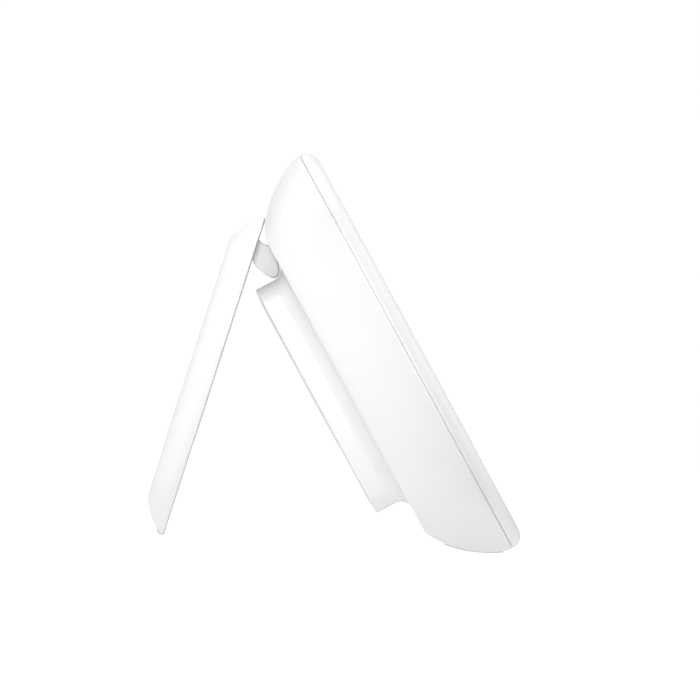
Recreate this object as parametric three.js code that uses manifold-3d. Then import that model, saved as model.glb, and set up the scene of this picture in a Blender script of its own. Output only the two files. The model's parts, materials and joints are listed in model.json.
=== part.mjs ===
// A tabletop digital photo frame with an 8-inch 16:10 panel.
//
// Slab frame (millimetres): X across the screen, Y from the front face to the back, Z up the face, with the
// origin at the centre of the front face. Everything is modelled upright in that frame. The slab group then
// leans back, and the stand group swings open about its hinge pin until the rubber feet meet the table.
// Row frame: +Z up, the screen faces -Y, origin on the table under the centre of the bounding box.

import * as THREE from "three";
import { mergeVertices } from "three/addons/utils/BufferGeometryUtils.js";
import Module from "manifold-3d";

const wasm = await Module();
wasm.setup();

// ---------------------------------------------------------------- driving dimensions
const DEG = Math.PI / 180;
const BODY = { width: 212, height: 148, radius: 32, depth: 28, wall: 2.2 };
const BEZEL = { depth: 4.75, edge: 5, plate: 2.2, lip: 1.2 };
const SEAM = 0.3; // gap between bezel and rear housing, and the usual gap between neighbours
const DOME = { reach: 19.3, power: 1.42 }; // how far the rear flank comes in, and how boxy its curve is
const HUMP = { width: 73, top: 41.8, bottom: -42.6, radius: 12, back: 39.5, cove: 4 };
const STAND = {
  width: 100, height: 110.8, radius: 18, depth: 9, reach: 11, power: 1.4, wall: 1.6, back: 1.5,
  gap: 4.5, // from the case's back to the rim of the closed stand
};
const PIVOT = { y: 21.4, z: 49.3 };
const OPEN_ANGLE = 46.3; // degrees between stand and back when the stand is on its stop
const ARM = { width: 40, barrel: 3.4, sweep: 14.4 };
const PIN_RADIUS = 1.5;
const BORE_RADIUS = PIN_RADIUS + 0.08;
const BAY = { side: 2.1, wall: 2, front: 6.9, top: 3.6 }; // the pocket that the arm swings in
const BRACKET = { x: 12, screwZ: 43, front: 14.8, sheet: 1.2, below: 9.5, above: 3 };
const FLANGE = { width: 52, height: 4.6, radius: 1.5, front: 35.9, back: 37.4, screwX: 22.6, z: 44.85 };
const SCREEN = { width: 172.2, height: 107.6 }; // active area
const PANEL = { width: 184, height: 115 }; // outline of the display module
const WINDOW = { width: 184.4, height: 119.8, radius: 2, front: 1.45, back: 2.85 };
const WINDOW_FRAME = { width: 185, height: 120.6, radius: 2, wall: 1.5, back: 6.9 };
const TONGUE = { inset: 3.4, thickness: 1.3, back: 7.2 };
const OPENING = { width: 180, height: 115.6, radius: 2, bevel: 1.2 };
const FOOT = { inner: 38, outer: 72, from: 8, to: 24, proud: 0.5, sunk: 0.6 };
const STAND_PAD_HALF = 26;
const BUTTON = { x: 72, width: 11, height: 4.6, proud: 0.9, travel: 0.5 };
const BUTTON_ROWS = { power: 30, menu: 23, previous: 16, next: 9, back: 2 };
const BUTTON_BOARD = { halfWidth: 6.5, front: 16.9, back: 18.5, bottom: -7, top: 39, screws: [36, -4] };
const SWITCH = { half: 3, front: 18.6, back: 21.4, plunger: 22.3 };
const SPEAKER = { x: 68, z: -26, radius: 14, holePitch: 3.4, hole: 0.95 };
const WELL = { x: 78, z: 44, radius: 4.2, bore: 2.8, bottom: 12.9 };
const TAB = { x: 98.5, z: 30 }; // screws that hold the chassis to the bezel
const CHASSIS = { width: 193, height: 128, radius: 16, front: 7.2, back: 8.4 };
const BOARD = { halfWidth: 31, top: 27, bottom: -39.4, front: 29.4, thickness: 1.6 };
const BOARD_SCREWS = [[-28, 22], [28, 22], [-28, -4], [29, -21]];
const JACK = { x: 22, y: 34, width: 9, height: 6, length: 11, bore: 2.75, pin: 1 };
const USB = { x: 7.5, y: 32.7, width: 9, height: 3.2, length: 7.4, wall: 0.35 };
const CARD = { x: -14.2, y: 32.5, width: 26, height: 2.9, length: 28, wall: 0.4 };

// Screws: head radius, head height and shank radius.
const CASE_SCREW = { head: 2.5, height: 1.8, shank: 1 };
const PLATE_SCREW = { head: 2.2, height: 1.3, shank: 0.95 };
const SMALL_SCREW = { head: 1.8, height: 1.1, shank: 0.8 };
const CLEARANCE = 0.2; // between a screw and its hole, and between parts that are screwed face to face

const CORNER_STEPS = 7;
const DOME_STEPS = 9;
const ROUND_SIDES = 24;

const housingFront = BEZEL.depth + SEAM;
const domeDepth = BODY.depth - housingFront;
const rimY = BODY.depth + STAND.gap; // where the closed stand's rim lies
const innerBack = BODY.depth - BODY.wall;
const humpInnerBack = HUMP.back - 2;
const standInnerBack = rimY + STAND.depth - STAND.back;
const boardBack = BOARD.front + BOARD.thickness;
const onBoard = boardBack + 0.1; // where parts stand on the main board
const portFace = BOARD.bottom - SEAM;

// ---------------------------------------------------------------- materials
const paint = (hex, roughness, metalness = 0) =>
  new THREE.MeshStandardMaterial({ color: hex, roughness, metalness });
const white = paint(0xf2f2f0, 0.42);
const whiteArm = paint(0xe9e9e8, 0.5);
const rubber = paint(0xd9dadb, 0.8);
const glass = paint(0x0b0c0e, 0.08);
const panelGlass = paint(0x1b2028, 0.2);
const foam = paint(0x2a2a2c, 0.95);
const steel = paint(0xb9bcc0, 0.35, 1);
const darkSteel = paint(0x55585c, 0.4, 1);
const pcb = paint(0x1f5a3a, 0.6);
const blackPlastic = paint(0x17181a, 0.5);
const gold = paint(0xc9a14a, 0.4);

// ---------------------------------------------------------------- solids
function toSolid(geometry) {
  const bare = geometry.clone();
  bare.deleteAttribute("normal");
  bare.deleteAttribute("uv");
  const merged = mergeVertices(bare, 1e-4);
  const build = (triVerts) =>
    new wasm.Manifold(
      new wasm.Mesh({ numProp: 3, vertProperties: merged.attributes.position.array, triVerts }),
    );
  const made = build(new Uint32Array(merged.index.array));
  return made.volume() > 0 ? made : build(new Uint32Array(merged.index.array).reverse());
}

function toGeometry(solid) {
  const mesh = solid.getMesh();
  return new THREE.BufferGeometry()
    .setAttribute("position", new THREE.BufferAttribute(new Float32Array(mesh.vertProperties), 3))
    .setIndex(new THREE.BufferAttribute(new Uint32Array(mesh.triVerts), 1));
}

const union = (...solids) => solids.reduce((all, next) => all.add(next));
const cut = (solid, ...tools) => tools.reduce((left, tool) => left.subtract(tool), solid);

// A box from its lowest and highest corners.
function box([x0, y0, z0], [x1, y1, z1]) {
  const geometry = new THREE.BoxGeometry(x1 - x0, y1 - y0, z1 - z0);
  return toSolid(geometry.translate((x0 + x1) / 2, (y0 + y1) / 2, (z0 + z1) / 2));
}

// A cylinder along Y, the slab's thickness.
function rod(radius, x, z, y0, y1, sides = ROUND_SIDES) {
  const geometry = new THREE.CylinderGeometry(radius, radius, y1 - y0, sides);
  return toSolid(geometry.translate(x, (y0 + y1) / 2, z));
}

// A cylinder along X, centred on the hinge axis.
function axle(radius, x0, x1, sides = ROUND_SIDES) {
  const geometry = new THREE.CylinderGeometry(radius, radius, x1 - x0, sides).rotateZ(Math.PI / 2);
  return toSolid(geometry.translate((x0 + x1) / 2, PIVOT.y, PIVOT.z));
}

// Turns a profile of [radius, y] points, from the axis back to the axis, about a line along Y.
function turned(profile, x, z, sides = ROUND_SIDES) {
  const points = profile.map(([r, y]) => new THREE.Vector2(r, y));
  return toSolid(new THREE.LatheGeometry(points, sides).translate(x, 0, z));
}

// A rounded rectangle in X-Z, counterclockwise as seen from the front.
function roundedOutline(width, height, radius, steps = CORNER_STEPS) {
  const corners = [[1, -1, -90], [1, 1, 0], [-1, 1, 90], [-1, -1, 180]];
  return corners.flatMap(([sx, sz, start]) =>
    Array.from({ length: steps + 1 }, (_, i) => {
      const angle = (start + (90 * i) / steps) * DEG;
      return new THREE.Vector2(
        sx * (width / 2 - radius) + radius * Math.cos(angle),
        sz * (height / 2 - radius) + radius * Math.sin(angle),
      );
    }),
  );
}

// Extrudes an X-Z outline along Y.
function slabOf(outline, y0, y1, x = 0, z = 0) {
  const shape = new THREE.Shape(outline);
  const geometry = new THREE.ExtrudeGeometry(shape, { depth: y1 - y0, bevelEnabled: false, steps: 1 });
  return toSolid(geometry.rotateX(Math.PI / 2).translate(x, y1, z));
}

// Extrudes a [y, z] profile along X.
function barOf(profile, x0, x1) {
  const points = (list) => list.map(([y, z]) => new THREE.Vector2(y, z));
  const shape = profile instanceof THREE.Shape ? profile : new THREE.Shape(points(profile));
  const options = { depth: x1 - x0, bevelEnabled: false, curveSegments: 10 };
  const geometry = new THREE.ExtrudeGeometry(shape, options);
  const basis = new THREE.Matrix4().makeBasis(
    new THREE.Vector3(0, 1, 0), new THREE.Vector3(0, 0, 1), new THREE.Vector3(1, 0, 0));
  return toSolid(geometry.applyMatrix4(basis).translate(x0, 0, 0));
}

// Skins a stack of X-Z rings, each { y, points }, and closes both ends.
function loft(rings) {
  const count = rings[0].points.length;
  const positions = [];
  const faces = [];
  for (const { y, points } of rings)
    for (const p of points)
      positions.push(p.x, y, p.y);
  const last = (rings.length - 1) * count;
  for (let k = 0; k < rings.length - 1; k++)
    for (let i = 0; i < count; i++) {
      const a = k * count + i;
      const b = k * count + ((i + 1) % count);
      faces.push(a, a + count, b + count, a, b + count, b);
    }
  for (let i = 1; i < count - 1; i++) {
    faces.push(0, i, i + 1);
    faces.push(last, last + i + 1, last + i);
  }
  const geometry = new THREE.BufferGeometry()
    .setAttribute("position", new THREE.Float32BufferAttribute(positions, 3))
    .setIndex(faces);
  return toSolid(geometry);
}

// A superellipse flank as [share of depth, share of reach] steps: it leaves the rim upright and ends flat.
function flank(power, steps = DOME_STEPS) {
  return Array.from({ length: steps + 1 }, (_, i) => {
    const angle = (90 * DEG * i) / steps;
    const along = i === steps ? 1 : Math.sin(angle) ** (2 / power);
    const inward = i === steps ? 1 : 1 - Math.cos(angle) ** (2 / power);
    return [along, inward];
  });
}

// A dished block: a rounded rectangle at `front` whose flank comes in by `reach` over `depth`.
function dish({ width, height, radius, reach, power }, front, depth) {
  return loft(flank(power).map(([along, inward]) => {
    const inset = reach * inward;
    return {
      y: front + depth * along,
      points: roundedOutline(width - 2 * inset, height - 2 * inset, radius - inset),
    };
  }));
}

// A pan-head screw along Y with a cross recess. `head` is the head's outer face, and `tip` the other end.
function screw(x, z, head, tip, kind) {
  const way = Math.sign(tip - head);
  const under = head + way * kind.height;
  const crown = 0.72 * kind.head; // radius of the head's flat top
  const shoulder = head + way * 0.45 * kind.height;
  const profile = [[0, head], [crown, head], [kind.head, shoulder], [kind.head, under], [kind.shank, under],
    [kind.shank, tip], [0, tip]];
  const near = head - way;
  const deep = head + way * 0.5 * kind.height;
  const low = Math.min(near, deep);
  const high = Math.max(near, deep);
  const arm = 0.55 * kind.head;
  const half = 0.14 * kind.head;
  const across = box([x - arm, low, z - half], [x + arm, high, z + half]);
  const upright = box([x - half, low, z - arm], [x + half, high, z + arm]);
  return cut(turned(profile, x, z, 12), across, upright);
}

const fourCorners = [[-1, -1], [-1, 1], [1, -1], [1, 1]];

// ---------------------------------------------------------------- rear housing
const bodyOuter = { ...BODY, ...DOME };
const bodyInner = {
  width: BODY.width - 2 * BODY.wall,
  height: BODY.height - 2 * BODY.wall,
  radius: BODY.radius - BODY.wall,
  ...DOME,
};

// Outline of the flank's bottom edge at depth y, pushed outwards by `offset`, as a [y, z] point.
function bottomFlank(y, offset) {
  const height = (depthIn) => {
    const share = Math.min(1, Math.max(0, (depthIn - housingFront) / domeDepth));
    return -(BODY.height / 2 - DOME.reach * (1 - (1 - share ** DOME.power) ** (1 / DOME.power)));
  };
  const step = 0.05;
  const slope = (height(y + step) - height(y - step)) / (2 * step);
  const length = Math.hypot(1, slope);
  return [y + (offset * slope) / length, height(y) - offset / length];
}

// The band between two offsets of the bottom flank, from depth y0 to depth y1.
function flankBand(y0, y1, inner, outer, steps = 10) {
  const at = (i) => y0 + ((y1 - y0) * i) / steps;
  const near = Array.from({ length: steps + 1 }, (_, i) => bottomFlank(at(i), outer));
  const far = Array.from({ length: steps + 1 }, (_, i) => bottomFlank(at(steps - i), inner));
  return [...near, ...far];
}

function humpOuter() {
  const centre = (HUMP.top + HUMP.bottom) / 2;
  const height = HUMP.top - HUMP.bottom;
  const ring = (y, out) => ({
    y,
    points: roundedOutline(HUMP.width + 2 * out, height + 2 * out, HUMP.radius + out)
      .map((p) => new THREE.Vector2(p.x, p.y + centre)),
  });
  const cove = [0, 22.5, 45, 67.5, 90].map((a) =>
    ring(BODY.depth + HUMP.cove * (1 - Math.cos(a * DEG)), HUMP.cove * (1 - Math.sin(a * DEG))));
  const crown = [[1.5, 0], [1.1, -0.5], [0.45, -3], [0.12, -7], [0, -11.5]]
    .map(([below, out]) => ring(HUMP.back - below, out));
  return loft([ring(BODY.depth - 1, HUMP.cove), ...cove, ...crown]);
}

function humpInner() {
  const centre = (HUMP.top + HUMP.bottom) / 2;
  const outline = roundedOutline(
    HUMP.width - 2 * BODY.wall, HUMP.top - HUMP.bottom - 2 * BODY.wall, HUMP.radius - BODY.wall);
  return slabOf(outline, innerBack - 2, humpInnerBack, 0, centre);
}

// The pocket that the hinge arm swings in, `grow` larger all round.
// It is a drum about the pin, cut off in front and above.
function hingeBay(grow) {
  const half = ARM.width / 2 + BAY.side + grow;
  const drum = axle(ARM.sweep + grow, -half, half, 40);
  const low = [-half, PIVOT.y - BAY.front - grow, PIVOT.z - 2 * ARM.sweep];
  const high = [half, PIVOT.y + 2 * ARM.sweep, PIVOT.z + BAY.top + grow];
  return drum.intersect(box(low, high));
}

// A round field of sound holes, staggered row by row.
function grilleHoles(side) {
  const pitch = SPEAKER.holePitch;
  const holes = [];
  for (let row = -2; row <= 2; row++)
    for (let column = -2; column <= 2; column++) {
      const x = (column + row / 2) * pitch;
      const z = row * pitch * Math.sin(60 * DEG);
      if (Math.hypot(x, z) < 2.1 * pitch) {
        const middle = [side * SPEAKER.x + x, SPEAKER.z + z];
        holes.push(rod(SPEAKER.hole, ...middle, innerBack - 1, BODY.depth + 1, 8));
      }
    }
  return union(...holes);
}

// Openings in the raised block's lower wall for the power jack, the USB port and the card socket.
function portOpenings() {
  const low = HUMP.bottom - HUMP.cove - 1;
  const high = HUMP.bottom + BODY.wall + 0.6;
  const margin = 0.4;
  const jackRadius = JACK.height / 2 + SEAM;
  const jackHole = new THREE.CylinderGeometry(jackRadius, jackRadius, high - low, 20).rotateX(Math.PI / 2);
  const usb = roundedOutline(USB.width + 2 * margin, USB.height + 2 * margin, 1.7, 4);
  const usbHole = new THREE.ExtrudeGeometry(new THREE.Shape(usb), { depth: high - low, bevelEnabled: false });
  const cardHalf = CARD.width / 2 - CARD.wall;
  return union(
    toSolid(jackHole.translate(JACK.x, JACK.y, (low + high) / 2)),
    toSolid(usbHole.translate(USB.x, USB.y, low)),
    box([CARD.x - cardHalf, CARD.y - 1.5, low], [CARD.x + cardHalf, CARD.y + 1.5, high]),
  );
}

// A hollow post that a screw of radius `hole` bites into, from `front` back to the wall at `back`.
function addPost(shell, x, z, front, back, hole, depth) {
  const post = rod(2.4, x, z, front, back, 16);
  return shell.add(post).subtract(rod(hole, x, z, front - 1, front + depth, 12));
}

function buttonWidth(name) {
  return name === "power" ? BUTTON.height : BUTTON.width;
}

// Outline of a key, `grow` larger all round.
function keyOutline(name, grow, steps) {
  const radius = BUTTON.height / 2 + grow - 0.01;
  return roundedOutline(buttonWidth(name) + 2 * grow, BUTTON.height + 2 * grow, radius, steps);
}

// A deep well behind each corner, with a screw seat at its bottom.
function addWell(shell, x, z) {
  const seat = WELL.bottom + 2.2;
  return cut(
    shell.add(rod(WELL.radius, x, z, WELL.bottom, BODY.depth - 0.5)),
    rod(WELL.bore, x, z, seat, BODY.depth + 1),
    rod(CASE_SCREW.shank + 0.5, x, z, WELL.bottom - 1, seat + 1),
  );
}

function rearHousing() {
  const envelope = dish(bodyOuter, housingFront, domeDepth).add(humpOuter());
  const cavity = dish(bodyInner, housingFront - 1, domeDepth - BODY.wall + 1);
  const postHole = PLATE_SCREW.shank + 0.1;
  let shell = cut(envelope, cavity, humpInner());
  shell = union(shell, hingeBay(BAY.wall).intersect(envelope));
  shell = cut(shell, hingeBay(0));
  for (const [sx, sz] of fourCorners)
    shell = addWell(shell, sx * WELL.x, sz * WELL.z);
  for (const [x, z] of BOARD_SCREWS)
    shell = addPost(shell, x, z, boardBack + SEAM, humpInnerBack + 0.5, postHole, 5.4);
  for (const z of BUTTON_BOARD.screws)
    shell = addPost(shell, BUTTON.x, z, BUTTON_BOARD.back + SEAM, innerBack + 0.5, postHole, 4.7);
  for (const [name, z] of Object.entries(BUTTON_ROWS)) {
    const hole = keyOutline(name, 0.25, 5);
    shell = shell.subtract(slabOf(hole, innerBack - 1, BODY.depth + 1, BUTTON.x, z));
  }
  const pocket = flankBand(FOOT.from - SEAM, FOOT.to + SEAM, -(FOOT.sunk + 0.15), 4);
  for (const side of [-1, 1]) {
    const edges = [side * FOOT.inner, side * FOOT.outer];
    const footPocket = barOf(pocket, Math.min(...edges) - SEAM, Math.max(...edges) + SEAM);
    const bracketHole = rod(PLATE_SCREW.shank + 0.25, side * BRACKET.x, BRACKET.screwZ, 10, 16, 12);
    shell = cut(shell, bracketHole, grilleHoles(side), footPocket);
  }
  return shell.subtract(portOpenings());
}

// ---------------------------------------------------------------- front bezel and display
// A tray with a rounded front edge, a bevelled opening, a frame that holds the window, and a tongue that
// enters the rear housing.
function frontBezel() {
  const steps = 5;
  const rings = Array.from({ length: steps + 1 }, (_, i) => {
    const angle = (90 * DEG * i) / steps;
    const inset = BEZEL.edge * (1 - Math.sin(angle));
    return {
      y: BEZEL.depth * (1 - Math.cos(angle)),
      points: roundedOutline(BODY.width - 2 * inset, BODY.height - 2 * inset, BODY.radius - inset),
    };
  });
  const openingRing = (y, grow) => ({
    y,
    points: roundedOutline(OPENING.width + 2 * grow, OPENING.height + 2 * grow, OPENING.radius + grow),
  });
  const bevel = loft([openingRing(-OPENING.bevel, 2 * OPENING.bevel), openingRing(OPENING.bevel, 0)]);
  const opening = plate(OPENING, 0, -1, BEZEL.depth);
  const windowSeat = plate(WINDOW_FRAME, 0, BEZEL.lip, WINDOW_FRAME.back);
  const windowFrame = plate(WINDOW_FRAME, WINDOW_FRAME.wall, BEZEL.plate - 0.2, WINDOW_FRAME.back);
  const channel = cut(
    plate(BODY, -BEZEL.edge - 1, BEZEL.plate, 6),
    plate(WINDOW_FRAME, WINDOW_FRAME.wall, 1, 7),
  );
  const tongue = cut(
    plate(BODY, -TONGUE.inset, BEZEL.depth - SEAM, TONGUE.back),
    plate(BODY, -TONGUE.inset - TONGUE.thickness, BEZEL.depth - 1, TONGUE.back + 1),
  );
  let bezel = cut(loft(rings), channel, bevel);
  bezel = union(bezel, windowFrame, tongue);
  bezel = cut(bezel, windowSeat, opening);
  for (const [sx, sz] of fourCorners) {
    const post = rod(2.7, sx * TAB.x, sz * TAB.z, BEZEL.plate - 0.5, CHASSIS.front - SEAM, 16);
    const hole = rod(PLATE_SCREW.shank + CLEARANCE, sx * TAB.x, sz * TAB.z, 2.8, 8, 12);
    bezel = bezel.add(post).subtract(hole);
  }
  return bezel;
}

// A flat rounded plate from y0 to y1, `grow` larger all round than the size that it is given.
function plate({ width, height, radius }, grow, y0, y1, x = 0, z = 0) {
  return slabOf(roundedOutline(width + 2 * grow, height + 2 * grow, radius + grow, 6), y0, y1, x, z);
}

// The padded frame between the window and the display module.
function windowGasket() {
  const inner = { width: SCREEN.width + 3, height: SCREEN.height + 3, radius: 1 };
  return plate(WINDOW, 0, 3, 3.3).subtract(plate(inner, 0, 2, 4));
}

// Folded steel chassis: it clamps the display module into the bezel and carries the housing's screw posts.
function chassis() {
  const { front, back } = CHASSIS;
  const tab = { width: 9, height: 10, radius: 2 };
  const lightening = { width: 52, height: 26, radius: 4 };
  let made = plate(CHASSIS, 0, front, back);
  made = made.subtract(box([-12, front - 1, -31], [12, back + 1, -27])); // the display ribbon's slot
  for (const [sx, sz] of fourCorners) {
    const [x, z] = [sx * TAB.x, sz * TAB.z];
    const windowZ = sz < 0 ? -13 : 16;
    made = union(
      made,
      plate(tab, 0, front, back, x - sx * 1.5, z),
      rod(3, sx * WELL.x, sz * WELL.z, back - 0.2, WELL.bottom - SEAM, 16),
    );
    made = cut(
      made,
      rod(PLATE_SCREW.shank + 0.35, x, z, front - 1, back + 1, 12),
      rod(CASE_SCREW.shank + 0.15, sx * WELL.x, sz * WELL.z, front - 1, WELL.bottom, 12),
      plate(lightening, 0, front - 1, back + 1, sx * 46, windowZ),
    );
  }
  return made;
}

// Flat ribbon from the display module through the chassis to the main board, as one bent strip.
function displayRibbon() {
  const path = new THREE.CatmullRomCurve3([
    [7.2, -29], [10, -29], [14, -27.5], [19, -20], [24, -10], [27.6, -4], [28.8, 2], [28.8, 12],
  ].map(([y, z]) => new THREE.Vector3(y, z, 0)));
  const half = 0.12; // half its thickness
  const steps = 22;
  const sides = [1, -1].map((side) => Array.from({ length: steps + 1 }, (_, i) => {
    const point = path.getPointAt(i / steps);
    const tangent = path.getTangentAt(i / steps);
    return [point.x - side * half * tangent.y, point.y + side * half * tangent.x];
  }));
  return barOf([...sides[0], ...sides[1].reverse()], -10, 10);
}

// ---------------------------------------------------------------- electronics in the hump
function mainBoard() {
  const size = { width: 2 * BOARD.halfWidth, height: BOARD.top - BOARD.bottom, radius: 5 };
  const board = plate(size, 0, BOARD.front, boardBack, 0, (BOARD.top + BOARD.bottom) / 2);
  return cut(board, ...BOARD_SCREWS.map(([x, z]) => rod(1.4, x, z, BOARD.front - 1, boardBack + 1, 12)));
}

// A cylinder along Z on the power jack's axis.
function jackRod(radius, z0, z1) {
  const geometry = new THREE.CylinderGeometry(radius, radius, z1 - z0, 20).rotateX(Math.PI / 2);
  return toSolid(geometry.translate(JACK.x, JACK.y, (z0 + z1) / 2));
}

function powerJack() {
  const half = JACK.width / 2;
  const bottomWall = 2;
  const low = [JACK.x - half, onBoard, portFace];
  const high = [JACK.x + half, onBoard + JACK.height, portFace + JACK.length];
  const bore = jackRod(JACK.bore, portFace - 1, portFace + JACK.length - bottomWall);
  const contact = jackRod(JACK.pin, portFace + 0.6, portFace + JACK.length - bottomWall + 0.5);
  return box(low, high).subtract(bore).add(contact);
}

function usbPort() {
  const tube = (grow, from, length) => {
    const outline = roundedOutline(USB.width + 2 * grow, USB.height + 2 * grow, 1.5 + grow, 4);
    const options = { depth: length, bevelEnabled: false };
    const geometry = new THREE.ExtrudeGeometry(new THREE.Shape(outline), options);
    return toSolid(geometry.translate(USB.x, USB.y, from));
  };
  const shell = cut(tube(0, portFace, USB.length), tube(-USB.wall, portFace - 1, USB.length - 0.5));
  const low = [USB.x - 3.3, USB.y - 0.35, portFace + 0.8];
  const high = [USB.x + 3.3, USB.y + 0.35, portFace + USB.length - 1];
  return shell.add(box(low, high));
}

function cardSocket() {
  const { x, width, height, length, wall } = CARD;
  const half = width / 2;
  const body = box([x - half, onBoard, portFace], [x + half, onBoard + height, portFace + length]);
  const mouthHalf = half - 2 * wall;
  const mouthHigh = [x + mouthHalf, onBoard + height - wall + 0.1, portFace + length - 2];
  return body.subtract(box([x - mouthHalf, onBoard + wall, portFace - 1], mouthHigh));
}

// ---------------------------------------------------------------- speakers and buttons
// Magnet, basket, rim and a dished cone with a dust cap.
function speaker(side) {
  const magnet = [[0, 16.8], [9, 16.8], [9, 19.4]];
  const basket = [[SPEAKER.radius - 0.1, 21], [SPEAKER.radius, 25.5], [12.4, 25.5]];
  const cone = [[11.2, 24.2], [4.5, 22.6], [3.2, 24], [0, 24.6]];
  return turned([...magnet, ...basket, ...cone], side * SPEAKER.x, SPEAKER.z, 20);
}

function buttonBoard() {
  const { halfWidth, front, back, bottom, top, screws } = BUTTON_BOARD;
  const board = box([BUTTON.x - halfWidth, front, bottom], [BUTTON.x + halfWidth, back, top]);
  return cut(board, ...screws.map((z) => rod(1.4, BUTTON.x, z, front - 1, back + 1, 12)));
}

function keySwitch(z) {
  const { half, front, back, plunger } = SWITCH;
  const body = box([BUTTON.x - half, front, z - half], [BUTTON.x + half, back, z + half]);
  return body.add(rod(1.7, BUTTON.x, z, back - 0.4, plunger, 12));
}

// A domed cap, a flange that keeps it in the case, and a stem that reaches for the switch.
function keyCap(name, z) {
  const top = BODY.depth + BUTTON.proud;
  const flangeFront = 24.6;
  const flangeBack = 25.5;
  const sections = [[flangeFront + 0.2, 0], [top - 0.35, 0], [top - 0.1, -0.25], [top, -0.6]];
  const cap = loft(sections.map(([y, grow]) => ({ y, points: keyOutline(name, grow, 3) })));
  const placed = toSolid(toGeometry(cap).translate(BUTTON.x, 0, z));
  const flange = slabOf(keyOutline(name, 0.85, 3), flangeFront, flangeBack, BUTTON.x, z);
  const stemEnd = SWITCH.plunger + SEAM + BUTTON.travel;
  return union(placed, flange, rod(1.4, BUTTON.x, z, stemEnd, flangeFront + 0.4, 12));
}

// ---------------------------------------------------------------- hinge
// A steel plate on the pocket's front wall with an ear at each end that holds the pin.
function hingeBracket() {
  const half = ARM.width / 2 + 1.75;
  const back = BRACKET.front + BRACKET.sheet;
  const base = box([-half, BRACKET.front, PIVOT.z - BRACKET.below], [half, back, PIVOT.z + BRACKET.above]);
  const earRadius = 3.1;
  const ear = new THREE.Shape();
  ear.moveTo(BRACKET.front + 0.1, PIVOT.z - 5.5);
  ear.lineTo(back + 0.5, PIVOT.z - 5.5);
  ear.lineTo(PIVOT.y, PIVOT.z - earRadius);
  ear.absarc(PIVOT.y, PIVOT.z, earRadius, -Math.PI / 2, Math.PI / 2, false);
  ear.lineTo(BRACKET.front + 0.1, PIVOT.z + BRACKET.above);
  const inner = ARM.width / 2 + 0.55;
  const bracket = union(base, barOf(ear, -half, -inner), barOf(ear, inner, half));
  const screwHoles = [-1, 1].map((side) =>
    rod(PLATE_SCREW.shank + 0.25, side * BRACKET.x, BRACKET.screwZ, BRACKET.front - 1, back + 1, 12));
  return cut(bracket, axle(BORE_RADIUS, -half - 1, half + 1), ...screwHoles);
}

// The arm, drawn with the stand closed: a barrel on the pin, a neck, and a lug that reaches into the stand
// and ends in a flange that the stand is screwed to. Its points are distances below the pin and out from it.
function hingeArm() {
  const root = standInnerBack - SEAM - PIVOT.y;
  const upper = [[-1.6, 2.4], [2.3, 6.7], [2.5, 9.4], [1.4, 10.8], [1.4, 13.4], [2.9, 16.6]];
  const tip = [[5.8, root], [6.7, root]];
  const lower = [[6.7, 13.1], [8.1, 11.5], [9.3, 10.3], [10.5, 8.9], [11.4, 6.6]];
  const heel = [[12.1, 4.4], [12.3, 2.9], [11.9, 1.8], [10.9, 1.25], [9.6, 1.15]];
  const neck = [[8.3, 1.6], [7, 2.4], [5.4, 3.5], [2.4, 0.4]];
  const profile = [...upper, ...tip, ...lower, ...heel, ...neck]
    .map(([below, out]) => [PIVOT.y + out, PIVOT.z - below]);
  const half = ARM.width / 2;
  const flange = plate(FLANGE, 0, FLANGE.front, FLANGE.back, 0, FLANGE.z);
  const arm = union(barOf(profile, -half, half), axle(ARM.barrel, -half, half), flange);
  const screwHoles = [-1, 1].map((side) =>
    rod(SMALL_SCREW.shank + 0.25, side * FLANGE.screwX, FLANGE.z, FLANGE.front - 1, FLANGE.back + 1, 12));
  return cut(arm, axle(BORE_RADIUS, -half - 1, half + 1), ...screwHoles);
}

function hingePin() {
  const reach = ARM.width / 2 + 1.95;
  return axle(PIN_RADIUS, -reach, reach);
}

function waveWasher(side) {
  const near = side * (ARM.width / 2 + 0.12);
  const far = near + side * 0.3;
  const low = Math.min(near, far);
  const high = Math.max(near, far);
  return axle(3, low, high).subtract(axle(PIN_RADIUS + 0.15, low - 1, high + 1));
}

// ---------------------------------------------------------------- stand
function standCover() {
  const inner = {
    width: STAND.width - 2 * STAND.wall,
    height: STAND.height - 2 * STAND.wall,
    radius: STAND.radius - STAND.wall,
    reach: STAND.reach - 0.6,
    power: STAND.power,
  };
  let cover = dish(STAND, rimY, STAND.depth).subtract(dish(inner, rimY - 1, STAND.depth - STAND.back + 1));
  for (const side of [-1, 1]) {
    const x = side * FLANGE.screwX;
    cover = cover.add(rod(2.4, x, FLANGE.z, FLANGE.back + CLEARANCE, standInnerBack + 0.3, 16));
    cover = cover.subtract(rod(SMALL_SCREW.shank + 0.15, x, FLANGE.z, FLANGE.back - 1, standInnerBack, 12));
  }
  const padHalf = STAND_PAD_HALF + SEAM;
  const edge = -STAND.height / 2;
  return cover.subtract(box([-padHalf, rimY - 1, edge - 5], [padHalf, rimY + 3.1, edge + 2.6]));
}

// Soft strip set into the stand's lower edge. Its points are distances behind the rim and above the edge.
function standFoot() {
  const face = [[-0.1, 1.9], [-0.1, 0.2], [0.15, -0.15]];
  const tread = [[0.6, -0.35], [1.4, -0.25], [2.1, 0.15]];
  const inside = [[2.8, 0.85], [2.8, 2.3], [1.2, 2.3]];
  const profile = [...face, ...tread, ...inside]
    .map(([behind, above]) => [rimY + behind, above - STAND.height / 2]);
  return barOf(profile, -STAND_PAD_HALF, STAND_PAD_HALF);
}

// ---------------------------------------------------------------- assembly
const frame = new THREE.Group();
const slab = new THREE.Group();
const stand = new THREE.Group();
frame.add(slab);
slab.add(stand);
stand.position.set(0, PIVOT.y, PIVOT.z);
stand.rotation.x = OPEN_ANGLE * DEG;

function add(group, name, solid, material) {
  const mesh = new THREE.Mesh(toGeometry(solid), material);
  mesh.name = name;
  if (group === stand) mesh.geometry.translate(0, -PIVOT.y, -PIVOT.z);
  group.add(mesh);
  return mesh;
}

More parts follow.
